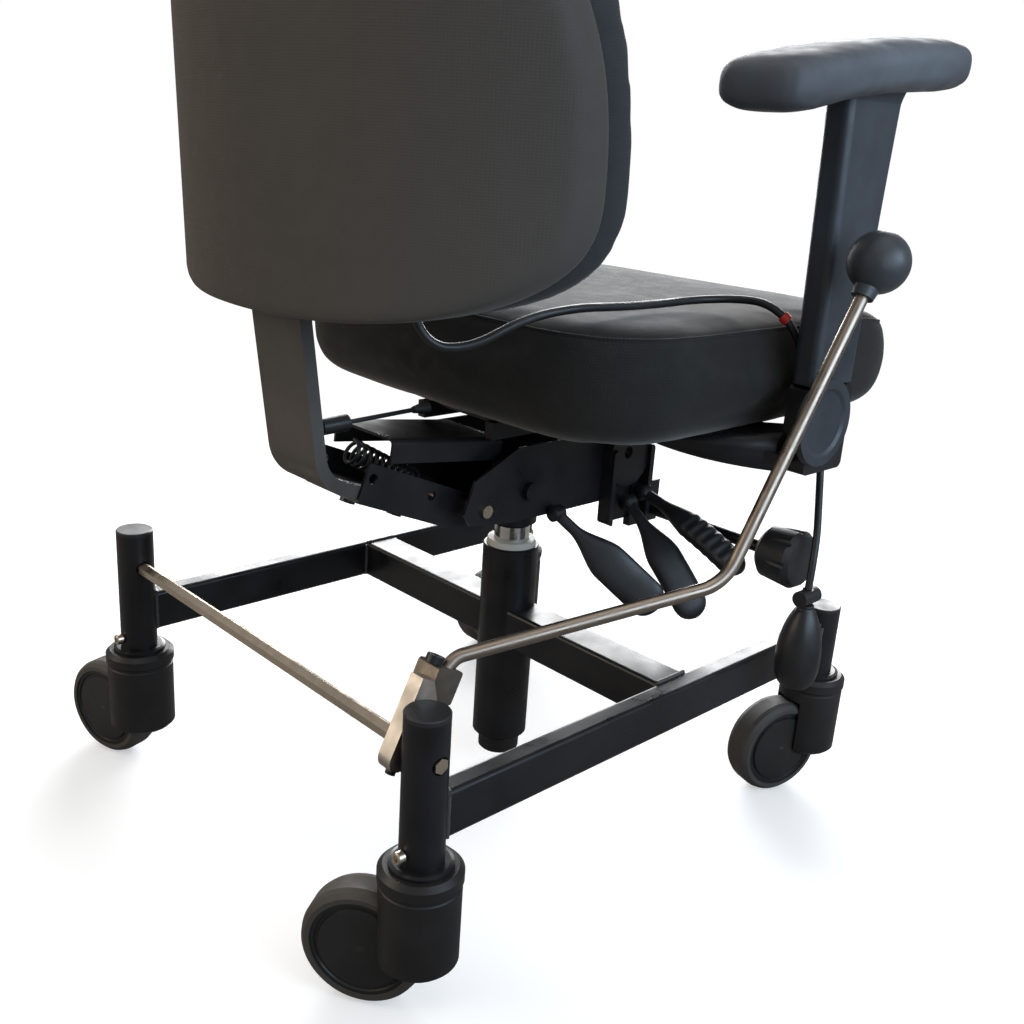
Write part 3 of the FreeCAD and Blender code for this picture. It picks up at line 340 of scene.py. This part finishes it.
def puff(obj, voxel, cap, pressure):
    """Swell a closed pad by a short cloth simulation, with a cap on how far a point may move."""
    remesh = obj.modifiers.new("remesh", "REMESH")
    remesh.mode = "VOXEL"
    remesh.voxel_size = voxel
    bake(obj)
    rest = [v.co.copy() for v in obj.data.vertices]
    cloth = obj.modifiers.new("cloth", "CLOTH")
    cloth.settings.use_pressure = True
    cloth.settings.uniform_pressure_force = pressure
    cloth.settings.effector_weights.gravity = 0
    cloth.settings.quality = 4
    cloth.point_cache.frame_start = 1
    cloth.point_cache.frame_end = CLOTH_FRAMES
    for number in range(1, CLOTH_FRAMES + 1):
        scene.frame_set(number)
    bake(obj)
    for vertex, start in zip(obj.data.vertices, rest):
        move = vertex.co - start
        if move.length > cap:
            vertex.co = start + move * (cap / move.length)
    scene.frame_set(1)
    smooth = obj.modifiers.new("smooth", "SMOOTH")
    smooth.factor = 0.5
    smooth.iterations = 3
    subdivide = obj.modifiers.new("subdivide", "SUBSURF")
    subdivide.levels = 1
    subdivide.render_levels = 1
    bake(obj)


def dress(obj, material, body, *replaced, look=None):
    """Give a piece its finish, its body and the CAD nodes that it stands for."""
    obj.data.materials.clear()
    obj.data.materials.append(paint[look or material])
    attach(obj, body)
    if replaced:
        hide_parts(*replaced)
    return obj


def tube(name, points, radius, closed=False):
    """A thin tube through points, such as piping or a welt."""
    data = bpy.data.curves.new(name, "CURVE")
    data.dimensions = "3D"
    spline = data.splines.new("POLY")
    spline.points.add(len(points) - 1)
    for target, at in zip(spline.points, points):
        target.co = (*at, 1)
    spline.use_cyclic_u = closed
    data.bevel_depth = radius
    data.bevel_resolution = 2
    data.use_fill_caps = not closed
    obj = bpy.data.objects.new(name, data)
    scene.collection.objects.link(obj)
    bpy.context.view_layer.update()
    mesh = bpy.data.meshes.new_from_object(obj.evaluated_get(bpy.context.evaluated_depsgraph_get()))
    bpy.data.objects.remove(obj)
    made = bpy.data.objects.new(name, mesh)
    mesh.shade_smooth()
    scene.collection.objects.link(made)
    return made


def settle_on(obj, points, lift):
    """Move points onto the nearest place of a mesh, raised by a little."""
    out = []
    for p in points:
        hit, place, normal, _ = obj.closest_point_on_mesh(Vector(p))
        out.append(tuple(place + normal * lift) if hit else tuple(p))
    return out


SEAT_HALF, SEAT_FRONT, SEAT_REAR, SEAT_CORNER = 0.230, 0.342, 0.132, 0.086
SEAT_MIDDLE, SEAT_DEPTH = (SEAT_REAR - SEAT_FRONT) / 2, (SEAT_REAR + SEAT_FRONT) / 2
FALL_START, UPPER_HALF, SEAT_TOP = 0.20, 0.47, 0.495

# The cushion's rings from the middle of its underside, round its edge, to the middle of its top: inset, height
SEAT_ROWS = [
    (0.150, 0.4165), (0.088, 0.4165), (0.076, 0.409), (0.052, 0.4035), (0.032, 0.4045), (0.018, 0.410),
    (0.009, 0.420), (0.0045, 0.434), (0.0025, 0.455), (0.004, 0.476), (0.0075, 0.493), (0.012, 0.5005),
    (0.022, 0.5035), (0.050, 0.5052), (0.090, 0.5068), (0.140, 0.5078), (0.200, 0.5082)]


def seat_height(x, y, z):
    """The seat dips a little in the middle and falls away at its front edge, most on its top."""
    fall = max(0.0, (-y - FALL_START) / (SEAT_FRONT - FALL_START))
    dip = math.exp(-(x / 0.14) ** 2 - ((y + 0.06) / 0.15) ** 2)
    return z - (0.020 if z > UPPER_HALF else 0.008) * fall ** 2 - 0.004 * dip * (z > SEAT_TOP)


def seat_ring(inset, z):
    ring = []
    corner = max(SEAT_CORNER - inset * 0.4, 0.02)
    for x, y in rounded_outline(SEAT_HALF - inset, SEAT_DEPTH - inset, corner):
        y += SEAT_MIDDLE
        ring.append((x, y, seat_height(x, y, z)))
    return ring


def make_seat():
    seat = ring_mesh("seat_cushion_soft", [seat_ring(inset, z) for inset, z in SEAT_ROWS])
    puff(seat, voxel=0.006, cap=0.0025, pressure=2.0)
    dress(seat, "seat_fabric", "seat", "seat_cushion")
    seam = settle_on(seat, seat_ring(0.0105, 0.4995), 0.0003)
    dress(tube("seat_seam", seam, 0.0013, True), "seat_fabric", "seat")


BACK_HALF, BACK_FOOT, BACK_LOW, BACK_HIGH, BACK_REAR = 0.240, 0.506, 0.113, 0.274, 0.310
REAR_RADIUS, FRONT_RADIUS, BACK_FRONT = 0.309, 0.520, 0.197
BACK_LEAN = Matrix.Rotation(math.radians(-2), 4, "X")
BACK_MIDDLE = 0.17
OUTLINE_STEPS = 2000

# The rear cover's flat face, its rounded edge (inset, depth) and the slot in its foot for the back bar
COVER_INSET, COVER_DROP, COVER_RINGS = 0.012, 0.006, 30
COVER_EDGE = [(0.008, 0.0007), (0.0055, 0.002), (0.0045, 0.0045), (0.004, 0.010), (0.0035, 0.018), (0.0035, 0.027),
              (0.0045, 0.0318)]
SLOT_HALF, SLOT_HIGH, SLOT_FRONT = 0.040, 0.012, 0.303

# The pad: its rear face (inset, depth), its side (inset, share of the thickness) and its front face (size)
PAD_DEPTH = 0.034
PAD_REAR = [(0.110, 0.034), (0.040, 0.034), (0.012, 0.0345), (0.004, 0.037)]
PAD_SIDE = [(-0.001, 0.12), (-0.003, 0.3), (-0.003, 0.5), (-0.001, 0.7), (0.006, 0.86), (0.018, 0.95), (0.040, 0.99)]
PAD_FRONT = (0.88, 0.74, 0.6, 0.46, 0.32, 0.18, 0.06)


def back_outline(inset, drop=0.0, count=220):
    """Points spaced evenly along the back's outline: square-shouldered below, a tall oval above."""
    fine = []
    for n in range(OUTLINE_STEPS):
        angle = 2 * math.pi * n / OUTLINE_STEPS
        across, up = math.cos(angle), math.sin(angle)
        power, high = (2.3, BACK_HIGH) if up > 0 else (3.3, BACK_LOW)
        size = (abs(across) ** power + abs(up) ** power) ** (-1 / power)
        reach = high - inset + (drop if up < 0 else 0)
        fine.append(((BACK_HALF + drop * 0.6 - inset) * across * size, BACK_LOW + reach * up * size))
    walked = [0.0]
    for n in range(OUTLINE_STEPS):
        (x0, y0), (x1, y1) = fine[n], fine[(n + 1) % OUTLINE_STEPS]
        walked.append(walked[-1] + math.hypot(x1 - x0, y1 - y0))
    points, k = [], 0
    for n in range(count):
        goal = walked[-1] * n / count
        while walked[k + 1] < goal:
            k += 1
        share = (goal - walked[k]) / (walked[k + 1] - walked[k])
        (x0, y0), (x1, y1) = fine[k], fine[(k + 1) % OUTLINE_STEPS]
        points.append((x0 + (x1 - x0) * share, y0 + (y1 - y0) * share))
    return points


def back_thickness(x):
    """From the rear face to the front, both curved across, and a little more at the sides."""
    rear = BACK_REAR - REAR_RADIUS + math.sqrt(REAR_RADIUS ** 2 - x * x)
    front = BACK_FRONT - FRONT_RADIUS + math.sqrt(FRONT_RADIUS ** 2 - x * x)
    return rear - front + 0.008 * min(1.0, (x / 0.2) ** 2)


def crease(x, v):
    """The rear panel sinks a little to the right of a long curved line."""
    line = 0.012 - 0.055 * max(0.0, (0.26 - v) / 0.26) ** 2
    past = max(line - x + 0.002, 0.0)
    fade = min(max((v - 0.055) / 0.10, 0.0), 1.0) * min(max((0.20 + x) / 0.14, 0.0), 1.0)
    return 0.007 * (1 - math.exp(-past ** 1.5 / (past ** 0.5 + 0.003) / 0.045)) * fade


def back_point(x, v, depth):
    """A point of the back: across, up from its foot, and forward from its rear face."""
    y = BACK_REAR - REAR_RADIUS + math.sqrt(max(REAR_RADIUS ** 2 - x * x, 0)) - depth
    return BACK_LEAN @ Vector((0, y - BACK_REAR, v)) + Vector((x, BACK_REAR, BACK_FOOT))


def back_ring(inset, depth, share=None, drop=0.0):
    """A ring behind the edge at a depth, moved by a share of the way from there to the front."""
    ring = []
    for x, v in back_outline(inset, drop):
        at = depth if share is None else depth + share * (back_thickness(x) - depth)
        ring.append(tuple(back_point(x, v, at)))
    return ring


def back_disc(inset, shrink, share, drop=0.0):
    """A ring drawn in towards the middle: on the rear face where share is 0, on the front where it is 1."""
    ring = []
    for x, v in back_outline(inset, drop):
        x, v = x * shrink, BACK_MIDDLE + (v - BACK_MIDDLE) * shrink
        ring.append(tuple(back_point(x, v, share * back_thickness(x) if share else crease(x, v))))
    return ring


def make_back():
    sizes = [0.0005 + (k / COVER_RINGS) ** 0.9 * 0.9995 for k in range(COVER_RINGS + 1)]
    rings = [back_disc(COVER_INSET, size, 0.0, COVER_DROP) for size in sizes]
    rings += [back_ring(inset, depth, drop=COVER_DROP) for inset, depth in COVER_EDGE]
    cover = ring_mesh("back_cover", rings, close=False)
    build = bmesh.new()
    build.from_mesh(cover.data)
    middle = [e for e in build.edges if e.is_boundary and e.calc_length() < 0.0002]
    bmesh.ops.holes_fill(build, edges=middle)
    slot_faces = [f for f in build.faces if abs(f.calc_center_median().x) < SLOT_HALF
                  and f.calc_center_median().z < BACK_FOOT + SLOT_HIGH and f.calc_center_median().y < SLOT_FRONT]
    bmesh.ops.delete(build, geom=slot_faces, context="FACES")
    bmesh.ops.recalc_face_normals(build, faces=build.faces)
    build.to_mesh(cover.data)
    build.free()
    cover.data.shade_smooth()
    thick = cover.modifiers.new("thick", "SOLIDIFY")
    thick.thickness = 0.003
    thick.offset = -1
    bake(cover)
    dress(cover, "seat_fabric", "back", "back_shell", look="back_fabric")

    rings = [back_ring(inset, depth) for inset, depth in PAD_REAR]
    rings += [back_ring(inset, PAD_DEPTH, share) for inset, share in PAD_SIDE]
    rings += [back_disc(0.040, size, 1.0) for size in PAD_FRONT]
    pad = ring_mesh("back_pad_soft", rings)
    puff(pad, voxel=0.006, cap=0.004, pressure=3.0)
    # The pad's fabric carries a painted bluish rim light.
    dress(pad, "seat_fabric", "back", "back_cushion", look="pad_fabric_painted_rimlight")
    welt = back_ring(0.0025, 0.0328)
    dress(tube("back_welt", welt, 0.0016, True), "seat_fabric", "back")


def across_y(x, y, z, wide, high, count=48):
    """A rounded ring that stands across the chair's depth."""
    ring = []
    for n in range(count):
        angle = 2 * math.pi * n / count
        across, up = math.cos(angle), math.sin(angle)
        size = (abs(across) ** 3.4 + abs(up) ** 3.4) ** (-1 / 3.4)
        ring.append((x + wide / 2 * across * size, y, z + high / 2 * up * size))
    return ring


# Along the arm pad from its rear end: share of the length, share of the width, foot, top
PAD_ROWS = [(0.0, 0.45, 0.679, 0.694), (0.008, 0.68, 0.674, 0.700), (0.03, 0.88, 0.6705, 0.705),
            (0.08, 0.98, 0.669, 0.709), (0.2, 1.0, 0.675, 0.715), (0.36, 1.0, 0.684, 0.722),
            (0.6, 1.0, 0.693, 0.732), (0.85, 0.99, 0.699, 0.738), (0.95, 0.90, 0.7005, 0.7375),
            (0.985, 0.72, 0.703, 0.735), (1.0, 0.45, 0.708, 0.730)]
ARM_X, ARM_REAR, ARM_LONG, ARM_WIDE = 0.263, 0.052, 0.266, 0.082


def make_arm_pad(side, sign):
    rings = []
    for n in range(41):
        share = 0.5 - 0.5 * math.cos(math.pi * n / 40)
        k = max(i for i in range(len(PAD_ROWS) - 1) if PAD_ROWS[i][0] <= share)
        a, b = PAD_ROWS[k], PAD_ROWS[k + 1]
        part = (share - a[0]) / (b[0] - a[0])
        width, foot, top = (a[i] + (b[i] - a[i]) * part for i in (1, 2, 3))
        middle = (foot + top) / 2
        rings.append(across_y(sign * ARM_X, ARM_REAR - ARM_LONG * share, middle, ARM_WIDE * width, top - foot))
    pad = ring_mesh(f"arm_pad_{side}_soft", rings)
    puff(pad, voxel=0.0045, cap=0.0015, pressure=1.5)
    dress(pad, "arm_foam", f"arm_{side}", f"arm_pad_{side}")


NECK_WIDE, NECK_THICK, HUB_RADIUS = 0.011, 0.009, 0.0078


def make_lever(name, root, tip, face, wide, thick, bend, ribs):
    """A moulded lever: a thin neck that swells into a curved grip with shallow cross ribs."""
    root, tip, face = Vector(root), Vector(tip), Vector(face)
    way = (tip - root).normalized()
    broad = way.cross(face).normalized()
    up = broad.cross(way).normalized()
    rings = []
    for n in range(81):
        share = n / 80
        swell = min(max((share - 0.16) / 0.36, 0), 1)
        swell = swell * swell * (3 - 2 * swell)
        close = math.sqrt(max(1 - max((share - 0.86) / 0.14, 0) ** 2.4, 0.02))
        w = (NECK_WIDE + (wide - NECK_WIDE) * swell) * close
        t = (NECK_THICK + (thick - NECK_THICK) * swell) * close
        if ribs and 0.45 < share < 0.92:
            t *= 1 + 0.10 * math.sin((share - 0.45) / 0.47 * math.pi * 2 * ribs)
        centre = root + way * ((tip - root).length * share) + up * (bend * math.sin(math.pi * share))
        ring = []
        for m in range(28):
            angle = 2 * math.pi * m / 28
            across, high = math.cos(angle), math.sin(angle)
            size = (abs(across) ** 3 + abs(high) ** 3) ** (-1 / 3)
            ring.append(tuple(centre + broad * (w / 2 * across * size) + up * (t / 2 * high * size)))
        rings.append(ring)
    grip = ring_mesh(f"lever_{name}_grip", rings)
    dress(grip, "black_plastic", f"{name}_lever", f"lever_{name}")
    turns = [2 * math.pi * m / 32 for m in range(32)]
    hub = [[tuple(root + Vector((HUB_RADIUS * math.cos(a), y, HUB_RADIUS * math.sin(a)))) for a in turns]
           for y in (-0.006, -0.0055, 0.0055, 0.006)]
    dress(ring_mesh(f"lever_{name}_hub", hub), "black_plastic", f"{name}_lever")


RAIL_X, RAIL_FOOT, RAIL_HIGH, POST_RADIUS = 0.227, 0.148, 0.036, 0.0175
REAR_POST_Y, FRONT_POST_Y, BEAD_TOP, BEAD_RADIUS = 0.295, -0.236, 0.1862, 0.0021


def make_welds():
    """Beads where the rails meet the posts and the crossbar."""
    beads = []
    for sign in (-1, 1):
        for y, toward in ((REAR_POST_Y, -1), (FRONT_POST_Y, 1)):
            reach = math.sqrt(POST_RADIUS ** 2 - 0.010 ** 2) + 0.0006
            for x in (-0.0102, 0.0102):
                beads.append([(sign * RAIL_X + x, y + toward * reach, RAIL_FOOT + RAIL_HIGH * n / 12)
                              for n in range(13)])
            beads.append([(sign * RAIL_X + x, y + toward * (math.sqrt(0.0178 ** 2 - x * x) + 0.0006), BEAD_TOP)
                          for x in (-0.0095 + 0.019 * n / 8 for n in range(9))])
        inner = sign * (RAIL_X - 0.0104)
        beads.append([(inner, -0.019 + 0.038 * n / 12, BEAD_TOP) for n in range(13)])
        for y in (-0.0203, 0.0203):
            beads.append([(inner, y, RAIL_FOOT + RAIL_HIGH * n / 12) for n in range(13)])
    for count, bead in enumerate(beads):
        rough = [tuple(c + 0.0003 * noise.noise(Vector(p) * 260 + Vector((k, 0, 0))) for k, c in enumerate(p))
                 for p in bead]
        dress(tube(f"weld_{count}", rough, BEAD_RADIUS), "frame_paint", "base", look="weld")


make_welds()
make_seat()
make_back()
for side, sign in (("left", 1), ("right", -1)):
    make_arm_pad(side, sign)
make_lever("lift", (-0.069, 0.010, 0.303), (-0.156, -0.050, 0.219), (-0.45, 0.75, 0.40), 0.038, 0.012, 0.004, 0)
make_lever("seat", (-0.078, -0.084, 0.300), (-0.176, -0.088, 0.208), (-0.5, 0.5, 0.55), 0.034, 0.016, 0.010, 0)
make_lever("back", (-0.078, -0.108, 0.306), (-0.208, -0.106, 0.262), (-0.3, 0.4, 0.85), 0.027, 0.018, 0.006, 6)


# Cord: the pump's hose, along the route of the CAD tube

HOSE_ROUTE = [
    (-0.112, 0.226, 0.5095), (-0.118, 0.220, 0.488), (-0.134, 0.188, 0.487), (-0.152, 0.152, 0.510),
    (-0.160, 0.104, 0.517), (-0.160, 0.052, 0.515), (-0.157, 0, 0.514), (-0.160, -0.048, 0.516),
    (-0.184, -0.076, 0.519), (-0.214, -0.082, 0.519), (-0.237, -0.092, 0.500), (-0.237, -0.122, 0.458),
    (-0.237, -0.158, 0.415), (-0.239, -0.164, 0.372), (-0.256, -0.143, 0.336), (-0.271, -0.124, 0.304),
    (-0.273, -0.118, 0.264)]

# The bulb's outline from its foot up: radius, height
BULB_ROWS = [(0.004, 0.1650), (0.010, 0.1655), (0.0150, 0.1690), (0.0185, 0.1750), (0.0205, 0.1840), (0.0210, 0.1950),
             (0.0203, 0.2080), (0.0178, 0.2220), (0.0142, 0.2335), (0.0105, 0.2415), (0.0082, 0.2450), (0.0076, 0.2465),
             (0.0078, 0.2480), (0.0074, 0.2488)]


def blend(a, b, c, d, t):
    """A smooth curve from b to c that follows its neighbours a and d."""
    return b + 0.5 * t * (c - a + t * (2 * a - 5 * b + 4 * c - d + t * (3 * (b - c) + d - a)))


def make_bulb():
    """The rubber bulb as a smooth drawn form with a thin parting line."""
    x, y = HOSE_ROUTE[-1][0], HOSE_ROUTE[-1][1]
    rings = []
    for n in range(4 * (len(BULB_ROWS) - 1) + 1):
        k = min(n // 4, len(BULB_ROWS) - 2)
        part = n / 4 - k
        before, after = BULB_ROWS[max(k - 1, 0)], BULB_ROWS[min(k + 2, len(BULB_ROWS) - 1)]
        radius, z = (blend(before[i], BULB_ROWS[k][i], BULB_ROWS[k + 1][i], after[i], part) for i in (0, 1))
        ring = []
        for m in range(64):
            angle = 2 * math.pi * m / 64
            line = 0.0003 * math.exp(-(math.sin(angle) / 0.06) ** 2)
            ring.append((x + (radius + line) * math.cos(angle), y + (radius + line) * math.sin(angle), z))
        rings.append(ring)
    return dress(ring_mesh("pump_bulb_soft", rings), "hose_rubber", "seat", "pump_bulb")


def make_hose():
    data = bpy.data.curves.new("hose", "CURVE")
    data.dimensions = "3D"
    spline = data.splines.new("NURBS")
    spline.points.add(len(HOSE_ROUTE) - 1)
    for point, at in zip(spline.points, HOSE_ROUTE):
        point.co = (*at, 1)
    spline.order_u = 3
    spline.use_endpoint_u = True
    spline.resolution_u = 12
    data.bevel_depth = 0.0035
    data.bevel_resolution = 6
    data.use_fill_caps = True
    hose = bpy.data.objects.new("hose", data)
    scene.collection.objects.link(hose)
    data.materials.append(paint["hose_rubber"])
    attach(hose, "seat")
    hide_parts("pump_hose")
    make_bulb()


make_hose()


# Studio: a pale floor, a backdrop that is white to the camera only, and soft lights

def make_floor():
    """A floor that fades to plain white and gives the chair's underside only a little light."""
    mesh = bpy.data.meshes.new("floor")
    size = 8
    mesh.from_pydata([(-size, -size, 0), (size, -size, 0), (size, size, 0), (-size, size, 0)], [], [(0, 1, 2, 3)])
    floor = bpy.data.objects.new("floor", mesh)
    scene.collection.objects.link(floor)
    s = Surface("floor_pale", (0.74, 0.74, 0.74), 0.8, Specular_IOR_Level=0.2, Emission_Strength=0.40)
    s.shader.inputs["Emission Color"].default_value = (1, 1, 1, 1)
    s.bump(s.noise(60, 3), 0.0005, 0.05)
    s.rough(s.noise(3, 4), 0.7, 0.9)
    white = s.node("ShaderNodeEmission")
    white.inputs["Strength"].default_value = 1.05
    dim = s.node("ShaderNodeBsdfDiffuse")
    dim.inputs["Color"].default_value = (0.20, 0.19, 0.18, 1)
    distance = s.node("ShaderNodeVectorMath", operation="LENGTH")
    s.link(s.place, distance.inputs[0])
    fade = s.node("ShaderNodeMixShader")
    s.link(s.ramp(distance.outputs["Value"], 0, 1, (0.75, 1.5)), fade.inputs["Fac"])
    s.link(s.shader.outputs[0], fade.inputs[1])
    s.link(white.outputs[0], fade.inputs[2])
    seen = s.node("ShaderNodeMixShader")
    s.link(s.node("ShaderNodeLightPath").outputs["Is Camera Ray"], seen.inputs["Fac"])
    s.link(dim.outputs[0], seen.inputs[1])
    s.link(fade.outputs[0], seen.inputs[2])
    s.link(seen.outputs[0], s.tree.nodes["Material Output"].inputs["Surface"])
    mesh.materials.append(s.material)


def make_world():
    world = bpy.data.worlds.new("studio")
    scene.world = world
    world.use_nodes = True
    tree = world.node_tree
    background = tree.nodes["Background"]
    path = tree.nodes.new("ShaderNodeLightPath")
    mix = tree.nodes.new("ShaderNodeMix")
    mix.data_type = "RGBA"
    mix.inputs["A"].default_value = (0.30, 0.29, 0.28, 1)
    mix.inputs["B"].default_value = (1, 1, 1, 1)
    tree.links.new(path.outputs["Is Camera Ray"], mix.inputs["Factor"])
    tree.links.new(mix.outputs["Result"], background.inputs["Color"])
    background.inputs["Strength"].default_value = 1.0


def area(name, at, target, size, power, color, spread=180):
    data = bpy.data.lights.new(name, "AREA")
    data.spread = math.radians(spread)
    data.shape = "RECTANGLE"
    data.size, data.size_y = size
    data.energy = power
    data.color = color
    light = bpy.data.objects.new(name, data)
    light.location = at
    light.rotation_euler = (Vector(target) - Vector(at)).to_track_quat("-Z", "Y").to_euler()
    scene.collection.objects.link(light)


make_floor()
make_world()
area("window", (2.3, -2.5, 1.5), (0, 0, 0.5), (3.4, 2.2), 250, (0.97, 0.98, 1.0))
area("side", (-2.4, -0.5, 1.3), (0, 0, 0.5), (1.8, 1.4), 38, (0.60, 0.79, 1.0))
area("room", (1.3, 2.4, 1.3), (0, 0, 0.6), (2.0, 1.6), 28, (1.0, 0.87, 0.72))
area("glow", (-1.7, 0.55, 0.85), (-0.3, -0.1, 0.6), (0.8, 0.8), 1.2, (0.66, 0.82, 1.0), 70)
area("ceiling", (-0.3, 0.3, 2.8), (0, 0, 0.5), (2.4, 2.4), 14, (1.0, 0.97, 0.93))
scene.view_settings.view_transform = "Standard"
